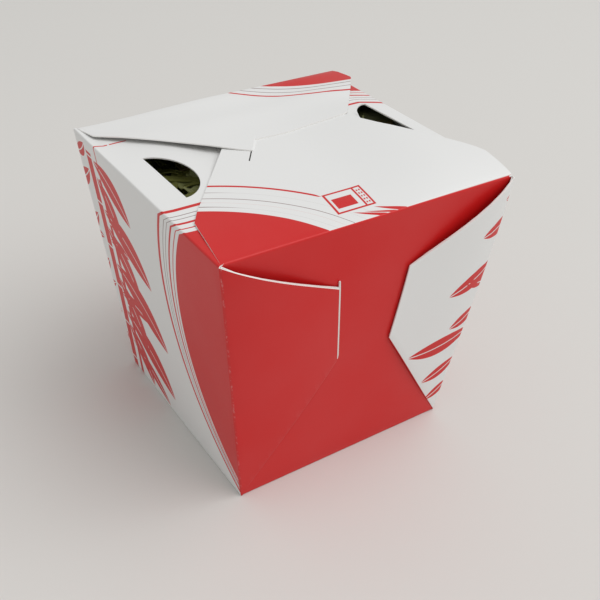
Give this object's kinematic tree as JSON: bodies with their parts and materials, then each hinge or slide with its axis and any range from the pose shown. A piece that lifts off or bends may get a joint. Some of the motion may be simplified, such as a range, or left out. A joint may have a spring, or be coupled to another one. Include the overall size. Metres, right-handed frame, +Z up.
{
  "type": "takeaway food box",
  "caption": "Closed folded paperboard takeaway box with a tapered square body, hooked lid flaps, half-round vents and shredded leafy food inside.",
  "frame": {"origin": "on the ground under the middle of the base", "axes": "+Z up, +X to the right along the front wall, +Y to the back; the front wall is the one whose flap lies under the hooked one"},
  "size_m": [0.107, 0.106, 0.1042],
  "materials": {
    "board": "coated white paperboard, printed in red outside, satin",
    "leaves": null
  },
  "bodies": {
    "root": {"carton": "board", "leaf_filling": "leaves"}
  },
  "joints": []
}
